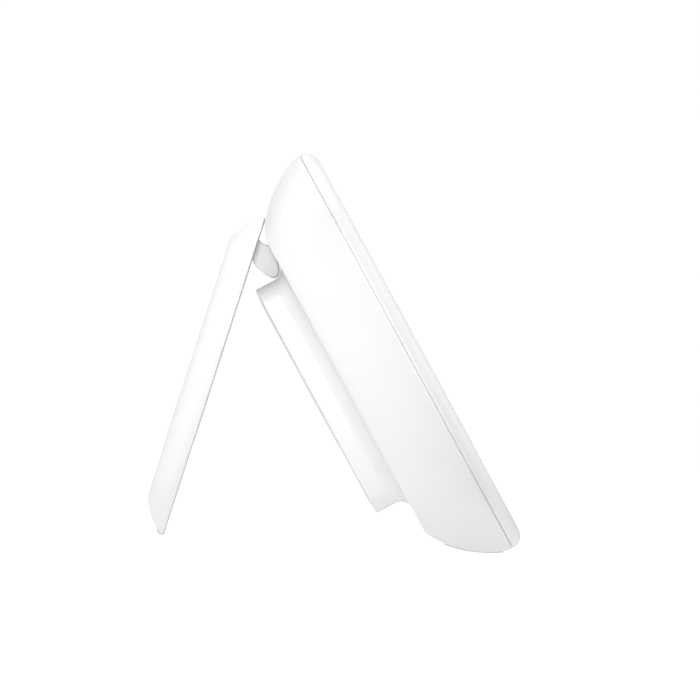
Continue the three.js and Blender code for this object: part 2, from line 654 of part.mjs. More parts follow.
// Flattens the part of a mesh that would reach below the table, so that it rests on a real flat.
function flattenBelow(mesh, tableZ) {
  frame.updateMatrixWorld(true);
  const toRow = mesh.matrixWorld;
  const world = toSolid(mesh.geometry.clone().applyMatrix4(toRow));
  const below = box([-200, -300, tableZ - 50], [200, 300, tableZ]);
  mesh.geometry = toGeometry(world.subtract(below)).applyMatrix4(toRow.clone().invert());
}

add(slab, "rear_housing", rearHousing(), white);
add(slab, "front_bezel", frontBezel(), white);
add(slab, "screen_window", plate(WINDOW, 0, WINDOW.front, WINDOW.back), glass);
add(slab, "window_gasket", windowGasket(), foam);
add(slab, "lcd_panel", plate({ ...PANEL, radius: 0.5 }, 0, 3.45, 4.75), panelGlass);
add(slab, "backlight_unit", plate({ ...PANEL, radius: 1 }, 0, 4.9, 6.85), steel);
add(slab, "chassis", chassis(), steel);
add(slab, "display_ribbon", displayRibbon(), gold);

fourCorners.forEach(([sx, sz], i) => {
  const chassisScrew = screw(sx * TAB.x, sz * TAB.z, 10, 3.6, PLATE_SCREW);
  const housingScrew = screw(sx * WELL.x, sz * WELL.z, 17.2, 9.4, CASE_SCREW);
  add(slab, `chassis_screw_${i + 1}`, chassisScrew, darkSteel);
  add(slab, `housing_screw_${i + 1}`, housingScrew, darkSteel);
});

add(slab, "main_board", mainBoard(), pcb);
add(slab, "processor_shield", box([1.5, onBoard, -16], [22, onBoard + 2, 8]), steel);
add(slab, "wifi_module", box([2, onBoard, 12], [16, onBoard + 1.8, 24]), steel);
add(slab, "ribbon_connector", box([-11, 27.2, 13], [11, 29.3, 18]), blackPlastic);
add(slab, "power_jack", powerJack(), blackPlastic);
add(slab, "usb_port", usbPort(), steel);
add(slab, "card_socket", cardSocket(), steel);
BOARD_SCREWS.forEach(([x, z], i) => {
  add(slab, `board_screw_${i + 1}`, screw(x, z, 27.9, 35.5, PLATE_SCREW), darkSteel);
});

add(slab, "speaker_left", speaker(-1), blackPlastic);
add(slab, "speaker_right", speaker(1), blackPlastic);
add(slab, "button_board", buttonBoard(), pcb);
BUTTON_BOARD.screws.forEach((z, i) => {
  add(slab, `button_board_screw_${i + 1}`, screw(BUTTON.x, z, 15.4, 22.8, PLATE_SCREW), darkSteel);
});
for (const [name, z] of Object.entries(BUTTON_ROWS)) {
  add(slab, `${name}_switch`, keySwitch(z), blackPlastic);
  add(slab, `${name}_button`, keyCap(name, z), white);
}

add(slab, "hinge_bracket", hingeBracket(), steel);
add(slab, "hinge_pin", hingePin(), darkSteel);
add(slab, "hinge_screw_1", screw(-BRACKET.x, BRACKET.screwZ, 11, 16.6, PLATE_SCREW), darkSteel);
add(slab, "hinge_screw_2", screw(BRACKET.x, BRACKET.screwZ, 11, 16.6, PLATE_SCREW), darkSteel);
add(slab, "wave_washer_left", waveWasher(-1), steel);
add(slab, "wave_washer_right", waveWasher(1), steel);

const footProfile = flankBand(FOOT.from, FOOT.to, -FOOT.sunk, FOOT.proud);
const feet = [
  add(slab, "foot_left", barOf(footProfile, -FOOT.outer, -FOOT.inner), rubber),
  add(slab, "foot_right", barOf(footProfile, FOOT.inner, FOOT.outer), rubber),
];

add(stand, "stand_cover", standCover(), white);
add(stand, "hinge_arm", hingeArm(), whiteArm);
add(stand, "arm_screw_left", screw(-FLANGE.screwX, FLANGE.z, 34.6, 39.4, SMALL_SCREW), darkSteel);
add(stand, "arm_screw_right", screw(FLANGE.screwX, FLANGE.z, 34.6, 39.4, SMALL_SCREW), darkSteel);
const standPad = add(stand, "stand_foot", standFoot(), rubber);

// Lean the slab back until the stand's foot is as low as the slab's own feet.
function lowest(mesh) {
  frame.updateMatrixWorld(true);
  return new THREE.Box3().setFromObject(mesh, true).min.z;
}
let [upright, leaned] = [20, 45]; // degrees, either side of the lean that levels the feet
for (let step = 0; step < 30; step++) {
  const lean = (upright + leaned) / 2;
  slab.rotation.x = -lean * DEG;
  if (lowest(standPad) > lowest(feet[0])) upright = lean;
  else leaned = lean;
}

// Set the table just above their lowest points, flatten them there, and move the origin onto the table.
const FLAT = 0.15; // how deep the feet are flattened
const table = lowest(feet[0]) + FLAT;
for (const foot of feet) flattenBelow(foot, table);
flattenBelow(standPad, table);
const bounds = new THREE.Box3().setFromObject(frame, true);
slab.position.set(0, -(bounds.min.y + bounds.max.y) / 2, -table);

export default frame;
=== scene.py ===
"""A tabletop digital photo frame: the looks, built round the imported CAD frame.

Every refined piece is drawn in the slab frame, in millimetres: X across the screen, Y from the front face to
the back, Z up the face, with the origin at the centre of the front face. Stand pieces are drawn with the
stand folded in. Two matrices, worked out from the joints, then put them where the CAD has them.
"""
import json
from math import atan2, cos, hypot, pi, radians, sin, sqrt

import bmesh
import bpy
from mathutils import Matrix, Vector


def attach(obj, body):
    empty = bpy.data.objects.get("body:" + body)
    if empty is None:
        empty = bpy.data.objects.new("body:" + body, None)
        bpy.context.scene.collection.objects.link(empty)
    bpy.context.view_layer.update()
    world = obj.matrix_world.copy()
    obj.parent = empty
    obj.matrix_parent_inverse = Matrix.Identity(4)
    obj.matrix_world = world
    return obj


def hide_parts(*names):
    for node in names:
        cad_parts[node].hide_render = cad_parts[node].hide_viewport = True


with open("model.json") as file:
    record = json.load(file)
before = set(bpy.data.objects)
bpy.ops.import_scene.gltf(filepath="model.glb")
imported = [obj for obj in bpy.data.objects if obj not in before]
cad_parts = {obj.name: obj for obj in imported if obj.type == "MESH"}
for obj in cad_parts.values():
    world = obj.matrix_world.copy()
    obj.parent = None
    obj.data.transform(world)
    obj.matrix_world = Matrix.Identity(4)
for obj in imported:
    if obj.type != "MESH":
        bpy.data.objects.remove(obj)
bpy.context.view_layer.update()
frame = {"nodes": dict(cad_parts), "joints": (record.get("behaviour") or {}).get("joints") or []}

# ---------------------------------------------------------------- driving dimensions, in millimetres
MM = 0.001

# the case: its outline from the front, its depth and wall, and the superellipse flank behind the seam
BODY_W, BODY_H, BODY_R, BODY_D = 212.0, 148.0, 32.0, 28.0
WALL = 2.2
DOME_REACH, DOME_POWER = 19.3, 1.42

# the seam: its width, the softened edges beside it, its depth, and the gap left between the two mouldings
SEAM, SEAM_EDGE, SEAM_DEPTH, SEAM_GAP = 0.3, 0.25, 0.7, 0.03

# the front bezel: face and plate, the tongue in the case, the frame round the panel, the posts, the opening
BEZEL_DEPTH, BEZEL_EDGE, BEZEL_PLATE, BEZEL_LIP = 4.75, 5.0, 2.2, 1.2
TONGUE_END, TONGUE_OUT, TONGUE_IN, PLATE_INSET = 7.2, 3.4, 4.7, 6.0
PANEL_FRAME_W, PANEL_FRAME_H, PANEL_FRAME_R, PANEL_FRAME_END = 188.0, 123.6, 3.0, 6.9
PANEL_FRAME_WALL = 1.5
POST_X, POST_Z, POST_R, POST_BORE, POST_BORE_START = 98.5, 30.0, 2.7, 1.15, 2.8
OPENING_W, OPENING_H, OPENING_R, OPENING_BEVEL = 180.0, 115.6, 2.0, 1.2

# the cover glass, the border printed behind it, and the picture that the border leaves free
GLASS_W, GLASS_H, GLASS_R, GLASS_FRONT, GLASS_BACK = 184.4, 119.8, 2.0, 1.45, 2.85
BORDER_FRONT, BORDER_BACK, BORDER_PLAY = 2.87, 2.97, 0.2
SCREEN_W, SCREEN_H, SCREEN_R = 172.2, 107.6, 0.3

# the raised block on the back: outline, back wall, the hollow corners round its foot, and its low crown
HUMP_W, HUMP_TOP, HUMP_BOTTOM, HUMP_R, HUMP_LEAST_R = 73.0, 41.8, -42.6, 6.0, 0.5
HUMP_BACK, HUMP_WALL = 39.5, 2.0
HUMP_END_COVE, HUMP_SIDE_COVE = 4.0, 5.5
CROWN_EDGE, CROWN_TURN, CROWN_REACH, CROWN_RISE = 0.5, 74.0, 11.5, 0.5

# openings in the block's lower end for the jack, USB port and card, as x, y, width, height, corner radius
PORTS = ((22.0, 34.0, 6.6, 6.6, 3.29), (7.5, 32.7, 9.8, 4.0, 1.7), (-14.2, 32.5, 25.2, 3.0, 0.6))

# the stand: outline, depth, flank, rounded lip, walls, and its gap to the case when it is folded in
STAND_W, STAND_H, STAND_R, STAND_D = 100.0, 110.8, 18.0, 9.0
STAND_REACH, STAND_POWER, STAND_LIP, STAND_WALL, STAND_BACK_WALL = 11.0, 1.4, 0.45, 1.6, 1.5
STAND_GAP, STAND_INNER_REACH = 4.5, 10.4
STAND_FOOT_HALF, STAND_SLOT_DEPTH, STAND_SLOT_HEIGHT = 26.0, 3.1, 2.6

# the hinge: pin, arm, the flange that is screwed into the stand, and the pocket that the arm swings in
PIVOT_Y, PIVOT_Z, PIN_R, PIN_PLAY = 21.4, 49.3, 1.5, 0.08
ARM_W, ARM_BARREL, ARM_SWEEP, ARM_EDGE = 40.0, 3.4, 14.4, 0.4
FLANGE_W, FLANGE_H, FLANGE_R, FLANGE_DROP, FLANGE_FRONT, FLANGE_BACK = 52.0, 4.6, 1.5, 4.45, 35.9, 37.4
FLANGE_SCREW_X, FLANGE_HOLE, FLANGE_BOSS, FLANGE_BOSS_BORE, FLANGE_BOSS_START = 22.6, 1.05, 2.4, 0.95, 37.6
BAY_SIDE, BAY_WALL, BAY_FRONT, BAY_TOP = 2.1, 2.0, 6.9, 3.6
BRACKET_SCREW_X, BRACKET_SCREW_Z, BRACKET_SCREW_BORE = 12.0, 43.0, 1.2

# the rubber pads under the case
FOOT_IN, FOOT_OUT, FOOT_FROM, FOOT_TO, FOOT_PROUD, FOOT_SUNK = 38.0, 72.0, 8.0, 24.0, 0.5, 0.6
FOOT_EDGE, FOOT_PLAY = 0.4, 0.15

# the keys: outline, cap, flange and stem, the hole round them, and the height of each one on the back
BUTTON_X, BUTTON_W, BUTTON_H, BUTTON_PROUD, BUTTON_EDGE = 72.0, 11.0, 4.6, 0.9, 0.5
BUTTON_FLANGE, BUTTON_FLANGE_FRONT, BUTTON_FLANGE_BACK = 0.85, 24.6, 25.5
BUTTON_STEM, BUTTON_STEM_START, BUTTON_GAP, BUTTON_MOUTH = 1.4, 23.1, 0.25, 0.3
BUTTON_ROWS = {"power": 30.0, "menu": 23.0, "previous": 16.0, "next": 9.0, "back": 2.0}
MARK_PROUD, MARK_SUNK, MARK_LINE = 0.03, 0.05, 0.34

# the speaker grilles, and the wells over the housing screws
SPEAKER_X, SPEAKER_Z, GRILLE_PITCH, GRILLE_HOLE, GRILLE_ROWS = 68.0, -26.0, 3.4, 0.95, 2
WELL_X, WELL_Z, WELL_R, WELL_BORE, WELL_BOTTOM, WELL_FLOOR = 78.0, 44.0, 4.2, 2.8, 12.9, 2.2
WELL_SCREW_BORE, WELL_SCREW_DEPTH = 1.5, 1.9

HOUSING_FRONT = BEZEL_DEPTH + SEAM
HOUSING_D = BODY_D - HOUSING_FRONT
INNER_BACK = BODY_D - WALL
HUMP_MID = (HUMP_TOP + HUMP_BOTTOM) / 2
HUMP_H = HUMP_TOP - HUMP_BOTTOM
RIM_Y = BODY_D + STAND_GAP
FLANGE_Z = PIVOT_Z - FLANGE_DROP
FOOT_MID = (FOOT_IN + FOOT_OUT) / 2
FOOT_HALF = (FOOT_OUT - FOOT_IN) / 2
BUTTON_TOP = BODY_D + BUTTON_PROUD

# ---------------------------------------------------------------- where the slab and the stand are
joints = {joint["name"]: joint for joint in frame["joints"]}
pivot = Vector(joints["stand_hinge"]["pos_m"])
open_angle = radians(joints["stand_hinge"]["range_deg"][1])
inward = Vector(joints["power_press"]["axis"])
lean = atan2(inward.z, -inward.y)
to_pivot = Matrix.Scale(MM, 4) @ Matrix.Translation((0, -PIVOT_Y, -PIVOT_Z))
SLAB = Matrix.Translation(pivot) @ Matrix.Rotation(-lean, 4, "X") @ to_pivot
STAND = Matrix.Translation(pivot) @ Matrix.Rotation(open_angle - lean, 4, "X") @ to_pivot


# ---------------------------------------------------------------- mesh tools
CORNER = 20  # steps round a quarter of a large outline


def link(name, mesh):
    made = bpy.data.objects.new(name, mesh)
    bpy.context.scene.collection.objects.link(made)
    return made


def ring(width, height, radius, y, z=0.0, x=0.0, steps=CORNER):
    """Points round a rounded rectangle that faces Y, counterclockwise as seen from the front."""
    points = []
    for sx, sz, start in ((1, -1, -90), (1, 1, 0), (-1, 1, 90), (-1, -1, 180)):
        for i in range(steps + 1):
            angle = radians(start + 90 * i / steps)
            points.append((x + sx * (width / 2 - radius) + radius * cos(angle), y,
                           z + sz * (height / 2 - radius) + radius * sin(angle)))
    return points


def circle(radius, x, z, y, sides=32):
    """Points round a circle that faces Y."""
    return [(x + radius * cos(2 * pi * i / sides), y, z + radius * sin(2 * pi * i / sides))
            for i in range(sides)]


def loft(name, rings, closed=False):
    """Skins a stack of rings. It is capped at both ends, or joined end to end when closed."""
    bm = bmesh.new()
    rows = [[bm.verts.new(point) for point in one] for one in rings]
    count = len(rows[0])
    pairs = list(zip(rows, rows[1:]))
    if closed:
        pairs.append((rows[-1], rows[0]))
    for low, high in pairs:
        for i in range(count):
            j = (i + 1) % count
            bm.faces.new((low[i], low[j], high[j], high[i]))
    if not closed:
        bm.faces.new(list(reversed(rows[0])))
        bm.faces.new(rows[-1])
    bmesh.ops.recalc_face_normals(bm, faces=bm.faces)
    mesh = bpy.data.meshes.new(name)
    bm.to_mesh(mesh)
    bm.free()
    return link(name, mesh)


def join(name, objects):
    """Joins solids that don't touch into one object."""
    bm = bmesh.new()
    for one in objects:
        bm.from_mesh(one.data)
        bpy.data.objects.remove(one)
    mesh = bpy.data.meshes.new(name)
    bm.to_mesh(mesh)
    bm.free()
    return link(name, mesh)


def bake(target):
    """Applies the modifiers of an object that hasn't been placed yet."""
    seen = target.evaluated_get(bpy.context.evaluated_depsgraph_get())
    mesh = bpy.data.meshes.new_from_object(seen)
    target.modifiers.clear()
    target.data = mesh
    return target


def combine(target, tools, operation):
    """Adds or cuts tool solids, which are used up."""
    tool = join("tool", tools) if len(tools) > 1 else tools[0]
    modifier = target.modifiers.new(operation, "BOOLEAN")
    modifier.operation = operation
    modifier.solver = "EXACT"
    modifier.object = tool
    bake(target)
    bpy.data.objects.remove(tool)
    return target


def add(target, *tools):
    return combine(target, tools, "UNION")


def cut(target, *tools):
    return combine(target, tools, "DIFFERENCE")


def rod(radius, x, z, y0, y1, sides=32):
    return loft("rod", [circle(radius, x, z, y, sides) for y in (y0, y1)])


def flared_hole(radius, x, z, y0, y1, flare=0.25, sides=24, steps=4):
    """A cutter for a round hole whose mouth, at y1, is softened by a small radius."""
    rings = [circle(radius, x, z, y0, sides)]
    for i in range(steps + 1):
        angle = radians(90 * i / steps)
        mouth = radius + flare * (1 - cos(angle))
        rings.append(circle(mouth, x, z, y1 - flare + flare * sin(angle), sides))
    rings.append(circle(radius + flare, x, z, y1 + 1, sides))
    return loft("hole", rings)


def slab_block(width, height, radius, y0, y1, x=0.0, z=0.0, steps=8):
    return loft("block", [ring(width, height, radius, y, z, x, steps) for y in (y0, y1)])


def brick(low, high):
    (x0, y0, z0), (x1, y1, z1) = low, high
    corners = ((x0, z0), (x1, z0), (x1, z1), (x0, z1))
    return loft("brick", [[(x, y, z) for x, z in corners] for y in (y0, y1)])


def offset_outline(points, inset):
    """Moves a closed [y, z] outline inwards by inset. The outline runs counterclockwise."""
    least_share = 0.35  # keeps a sharp corner from running away
    moved = []
    count = len(points)
    for i in range(count):
        before, here, after = points[i - 1], points[i], points[(i + 1) % count]
        first = Vector((here[0] - before[0], here[1] - before[1])).normalized()
        second = Vector((after[0] - here[0], after[1] - here[1])).normalized()
        normal = Vector((-first.y - second.y, first.x + second.x)).normalized()
        reach = inset / max(least_share, normal.dot(Vector((-first.y, first.x))))
        moved.append((here[0] + normal.x * reach, here[1] + normal.y * reach))
    return moved


def counterclockwise(points):
    area = sum(a[0] * b[1] - b[0] * a[1] for a, b in zip(points, points[1:] + points[:1]))
    return points if area > 0 else points[::-1]


def bar(name, profile, x0, x1, edge=0.0, steps=6):
    """Extrudes a [y, z] profile along X, with both ends rounded over by edge."""
    profile = counterclockwise(profile)
    stations = [(x0, 0.0), (x1, 0.0)]
    if edge:
        angles = [radians(90 * i / steps) for i in range(steps + 1)]
        turn = [(edge * (1 - sin(angle)), edge * (1 - cos(angle))) for angle in angles]
        stations = [(x0 + along, inset) for inset, along in turn]
        stations += [(x1 - along, inset) for inset, along in reversed(turn)]
    return loft(name, [[(x, y, z) for y, z in offset_outline(profile, inset)] for x, inset in stations])


def softened(points, rounds=2, share=0.25):
    """Cuts the corners of a closed outline, again and again, until they look round."""
    for _ in range(rounds):
        shorter = []
        for here, after in zip(points, points[1:] + points[:1]):
            for t in (share, 1 - share):
                shorter.append((here[0] + (after[0] - here[0]) * t, here[1] + (after[1] - here[1]) * t))
        points = shorter
    return points


def clipped(points, axis, limit, keep_below=True):
    """The part of a closed [y, z] outline on one side of a line."""
    side = 1 if keep_below else -1

    def is_kept(point):
        return side * (limit - point[axis]) >= 0

    kept = []
    for here, after in zip(points, points[1:] + points[:1]):
        if is_kept(here):
            kept.append(here)
        if is_kept(here) != is_kept(after):
            t = (limit - here[axis]) / (after[axis] - here[axis])
            kept.append((here[0] + (after[0] - here[0]) * t, here[1] + (after[1] - here[1]) * t))
    return kept


def place(piece, matrix, body, material, slot, *nodes):
    """Places a piece, smooths its shading, gives it its material, ties it to its body and hides the CAD nodes
    that it replaces. The slot is not used.
    """
    sharp_angle, merge_distance = radians(38), 1e-5
    mesh = piece.data
    bm = bmesh.new()
    bm.from_mesh(mesh)
    bmesh.ops.remove_doubles(bm, verts=bm.verts, dist=merge_distance)
    bmesh.ops.dissolve_degenerate(bm, edges=bm.edges, dist=merge_distance)
    bmesh.ops.recalc_face_normals(bm, faces=bm.faces)
    bm.to_mesh(mesh)
    bm.free()
    mesh.transform(matrix)
    mesh.shade_smooth()
    mesh.set_sharp_from_angle(angle=sharp_angle)
    weighted = piece.modifiers.new("weighted", "WEIGHTED_NORMAL")
    weighted.keep_sharp = True
    mesh.materials.clear()
    mesh.materials.append(material)
    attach(piece, body)
    if nodes:
        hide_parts(*nodes)
    return piece


# ---------------------------------------------------------------- materials
NOISE_LOW, NOISE_HIGH = 0.3, 0.7  # where most of a noise texture's values lie


def new_material(name, color, roughness, metallic=0.0):
    material = bpy.data.materials.new(name)
    material.use_nodes = True
    shader = material.node_tree.nodes["Principled BSDF"]
    shader.inputs["Base Color"].default_value = (*color, 1.0)
    shader.inputs["Roughness"].default_value = roughness
    shader.inputs["Metallic"].default_value = metallic
    return material, shader


def node(material, kind, **settings):
    """Adds a node. A setting is an input's value where the node has such an input, or else a property."""
    made = material.node_tree.nodes.new(kind)
    for key, value in settings.items():
        if key in made.inputs:
            made.inputs[key].default_value = value
        else:
            setattr(made, key, value)
    return made


def noise(material, scale, detail=2.0, stretch=(1.0, 1.0, 1.0)):
    """Noise in the piece's own metres, so that it rides with the piece."""
    coordinates = node(material, "ShaderNodeTexCoord")
    mapping = node(material, "ShaderNodeMapping", Scale=stretch)
    texture = node(material, "ShaderNodeTexNoise", Scale=scale, Detail=detail)
    links = material.node_tree.links
    links.new(coordinates.outputs["Object"], mapping.inputs["Vector"])
    links.new(mapping.outputs["Vector"], texture.inputs["Vector"])
    return texture.outputs["Fac"]


def vary(material, shader, socket, source, low, high):
    """Spreads a noise between two values or two colours, into one socket of the shader."""
    links = material.node_tree.links
    if isinstance(low, tuple):
        ramp = node(material, "ShaderNodeValToRGB")
        for stop, position, color in zip(ramp.color_ramp.elements, (NOISE_LOW, NOISE_HIGH), (low, high)):
            stop.position = position
            stop.color = (*color, 1.0)
        links.new(source, ramp.inputs["Fac"])
        links.new(ramp.outputs["Color"], shader.inputs[socket])
        return
    spread = node(material, "ShaderNodeMapRange")
    spread.inputs["From Min"].default_value = NOISE_LOW
    spread.inputs["From Max"].default_value = NOISE_HIGH
    spread.inputs["To Min"].default_value = low
    spread.inputs["To Max"].default_value = high
    links.new(source, spread.inputs["Value"])
    links.new(spread.outputs["Result"], shader.inputs[socket])


def bump(material, shader, source, depth):
    """Raises the surface by depth metres where the source is bright."""
    raised = node(material, "ShaderNodeBump", Strength=1.0, Distance=depth)
    material.node_tree.links.new(source, raised.inputs["Height"])
    material.node_tree.links.new(raised.outputs["Normal"], shader.inputs["Normal"])


def moulded(name, low, high, roughness, grain=4200.0, depth=0.000012):
    """Moulded plastic: a faint drift of tone, an uneven sheen and a fine spark-eroded grain."""
    drift_scale, sheen_scale, sheen_spread = 35.0, 90.0, 0.035
    material, shader = new_material(name, high, roughness)
    vary(material, shader, "Base Color", noise(material, drift_scale, 3.0), low, high)
    vary(material, shader, "Roughness", noise(material, sheen_scale, 4.0),
         roughness - sheen_spread, roughness + sheen_spread)
    bump(material, shader, noise(material, grain, 2.0), depth)
    return material


def sheet_metal(name, low, high, roughness, stretch=(1.0, 14.0, 1.0)):
    """Rolled or turned metal with fine lines along one way."""
    line_scale, line_depth = 900.0, 0.000006
    material, shader = new_material(name, high, roughness, 1.0)
    lines = noise(material, line_scale, 3.0, stretch)
    vary(material, shader, "Base Color", lines, low, high)
    vary(material, shader, "Roughness", lines, roughness - 0.06, roughness + 0.08)
    bump(material, shader, lines, line_depth)
    return material


def circuit_board():
    """Green solder mask over a grid of copper tracks."""
    track_scale, track_width, track_depth = 320.0, 0.06, 0.00003
    material, shader = new_material("circuit_board", (0.01, 0.11, 0.045), 0.32)
    coordinates = node(material, "ShaderNodeTexCoord")
    tracks = node(material, "ShaderNodeTexBrick", Scale=track_scale)
    tracks.inputs["Color1"].default_value = (0.006, 0.09, 0.035, 1)
    tracks.inputs["Color2"].default_value = (0.008, 0.12, 0.05, 1)
    tracks.inputs["Mortar"].default_value = (0.03, 0.2, 0.08, 1)
    tracks.inputs["Mortar Size"].default_value = track_width
    material.node_tree.links.new(coordinates.outputs["Object"], tracks.inputs["Vector"])
    material.node_tree.links.new(tracks.outputs["Color"], shader.inputs["Base Color"])
    bump(material, shader, tracks.outputs["Fac"], track_depth)
    return material


def cover_glass():
    """Clear polished glass whose outer face is coated, so that it mirrors the room only faintly."""
    material, shader = new_material("cover_glass", (0.95, 0.96, 0.97), 0.0)
    shader.inputs["Transmission Weight"].default_value = 1.0
    shader.inputs["IOR"].default_value = 1.18
    drift = noise(material, 8.0, 1.0)
    vary(material, shader, "Base Color", drift, (0.94, 0.955, 0.965), (0.96, 0.97, 0.975))
    return material


def dark_panel():
    """The display with its picture off: a deep grey-blue with a faint drift of tone under its polariser."""
    material, shader = new_material("dark_panel", (0.016, 0.018, 0.023), 0.3)
    drift = noise(material, 6.0, 1.0)
    vary(material, shader, "Base Color", drift, (0.015, 0.017, 0.022), (0.021, 0.024, 0.030))
    vary(material, shader, "Roughness", drift, 0.28, 0.32)
    return material


WHITE = moulded("white_plastic", (0.885, 0.886, 0.884), (0.905, 0.905, 0.902), 0.40)
ARM_WHITE = moulded("arm_plastic", (0.87, 0.87, 0.868), (0.89, 0.89, 0.887), 0.44)
CAP_WHITE = moulded("cap_plastic", (0.87, 0.87, 0.868), (0.89, 0.89, 0.887), 0.34, depth=0.000006)
RUBBER = moulded("pale_rubber", (0.84, 0.84, 0.842), (0.88, 0.88, 0.882), 0.78, 2600.0, 0.00003)
INK = moulded("grey_ink", (0.20, 0.20, 0.205), (0.25, 0.25, 0.255), 0.5, depth=0.000003)
BLACK = moulded("black_plastic", (0.012, 0.012, 0.013), (0.02, 0.02, 0.021), 0.42)
FOAM = moulded("black_foam", (0.01, 0.01, 0.01), (0.03, 0.03, 0.03), 0.95, 1500.0, 0.0001)
FILM = moulded("ribbon_film", (0.55, 0.3, 0.06), (0.62, 0.36, 0.09), 0.3)
STEEL = sheet_metal("plated_steel", (0.55, 0.56, 0.58), (0.68, 0.69, 0.71), 0.28)
HINGE_STEEL = sheet_metal("hinge_steel", (0.34, 0.35, 0.37), (0.46, 0.47, 0.49), 0.36, (14.0, 1.0, 1.0))
SCREW_STEEL = sheet_metal("screw_steel", (0.10, 0.10, 0.11), (0.17, 0.17, 0.18), 0.34)
ALUMINIUM = sheet_metal("aluminium_sheet", (0.62, 0.63, 0.65), (0.72, 0.73, 0.75), 0.38)
BOARD = circuit_board()
GLASS = cover_glass()
PANEL = dark_panel()


# ---------------------------------------------------------------- outlines of the case, block and stand
def flank(power, steps):
    """A superellipse flank as (share of depth, share of reach): upright at the rim and flat at the end."""
    stations = []
    for i in range(steps + 1):
        angle = radians(90 * i / steps)
        stations.append((sin(angle) ** (2 / power), 1 - max(0.0, cos(angle)) ** (2 / power)))
    stations[-1] = (1.0, 1.0)
    return stations


def flank_reach(share, power, reach):
    """How far such a flank has moved inwards at some share of its depth."""
    share = min(1.0, max(0.0, share))
    return reach * (1 - (1 - share ** power) ** (1 / power))


def body_ring(y, inset):
    return ring(BODY_W - 2 * inset, BODY_H - 2 * inset, BODY_R - inset, y)


def hump_ring(y, out, end_out=None):
    """A ring round the raised block, moved outwards by out at its sides and by end_out at its ends."""
    if end_out is None:
        end_out = out
    radius = max(HUMP_LEAST_R, HUMP_R + end_out)
    return ring(HUMP_W + 2 * out, HUMP_H + 2 * end_out, radius, y, HUMP_MID)


def stand_ring(y, inset):
    return ring(STAND_W - 2 * inset, STAND_H - 2 * inset, STAND_R - inset, y)


def pin_circle(radius, sides=48):
    """[y, z] points round the hinge pin."""
    return [(PIVOT_Y + radius * cos(2 * pi * i / sides), PIVOT_Z + radius * sin(2 * pi * i / sides))
            for i in range(sides)]


def corners_at(x, z):
    """The four places that mirror each other at x and z."""
    return [(sx * x, sz * z) for sx in (-1, 1) for sz in (-1, 1)]


# ---------------------------------------------------------------- rear shell
def cove_reach(y, radius):
    """How far a hollow corner, between the case and the raised block, still reaches out at depth y."""
    drop = max(0.0, 1 - (y - BODY_D) / radius)
    return radius * (1 - sqrt(1 - drop ** 2))


def cove_rings():
    """The block's foot, whose hollow corner is wider along the sides than at the ends."""
    rings = []
    for angle in range(0, 91, 6):
        y = BODY_D + HUMP_SIDE_COVE * (1 - cos(radians(angle)))
        rings.append(hump_ring(y, cove_reach(y, HUMP_SIDE_COVE), cove_reach(y, HUMP_END_COVE)))
    return rings


def crown_rings():
    """The block's edge, which turns most of the way over, and the low crown that goes on from it."""
    edge_in = CROWN_EDGE * (1 - cos(radians(CROWN_TURN)))
    edge_y = HUMP_BACK - CROWN_RISE - CROWN_EDGE * sin(radians(CROWN_TURN))
    rings = []
    for t in (0, 0.2, 0.4, 0.6, 0.8):
        angle = radians(CROWN_TURN * t)
        rings.append(hump_ring(edge_y + CROWN_EDGE * sin(angle), -CROWN_EDGE * (1 - cos(angle))))
    for t in (0, 0.1, 0.2, 0.32, 0.46, 0.62, 0.8, 1):
        rings.append(hump_ring(HUMP_BACK - CROWN_RISE * (1 - t) ** 3, -edge_in - (CROWN_REACH - edge_in) * t))
    return rings


def rear_skin():
    """The whole moulding as one stack of rings: up the inside, round the rim, and back over the outside."""
    block_back, cap_inset = HUMP_BACK - HUMP_WALL, 8
    inside = [hump_ring(block_back, -WALL - cap_inset), hump_ring(block_back, -WALL)]
    inside.append(hump_ring(INNER_BACK, -WALL))
    inside += [body_ring(HOUSING_FRONT + (HOUSING_D - WALL) * along, WALL + DOME_REACH * inwards)
               for along, inwards in reversed(flank(DOME_POWER, 16))]
    ledge = BEZEL_DEPTH + SEAM_GAP
    rim = [body_ring(ledge, WALL), body_ring(ledge, SEAM_DEPTH)]
    rim += [body_ring(HOUSING_FRONT, SEAM_DEPTH), body_ring(HOUSING_FRONT, SEAM_EDGE)]
    rim.append(body_ring(HOUSING_FRONT + SEAM_EDGE * 0.3, SEAM_EDGE * 0.3))
    outer_flank = [(HOUSING_FRONT + HOUSING_D * along, DOME_REACH * inwards)
                   for along, inwards in flank(DOME_POWER, 44)]
    outside = [body_ring(y, inset) for y, inset in outer_flank if y > HOUSING_FRONT + SEAM_EDGE]
    return loft("rear_shell", inside + rim + outside + cove_rings() + crown_rings())


def bay_outline(grow):
    """Section of the pocket that the arm swings in: a disc about the pin, cut off in front and above."""
    swept = pin_circle(ARM_SWEEP + grow, 96)
    swept = clipped(swept, 0, PIVOT_Y - BAY_FRONT - grow, keep_below=False)
    return clipped(swept, 1, PIVOT_Z + BAY_TOP + grow)


def bay_walls():
    """Walls round the pocket, kept inside the skin so that they only meet it from within."""
    half = ARM_W / 2 + BAY_SIDE + BAY_WALL
    walls = bay_outline(BAY_WALL)
    in_case = clipped(walls, 0, BODY_D - WALL / 2)
    in_block = clipped(clipped(walls, 1, HUMP_TOP - WALL / 2), 0, HUMP_BACK - HUMP_WALL / 2)
    return [bar("bay", in_case, -half, half), bar("bay", in_block, -half, half)]


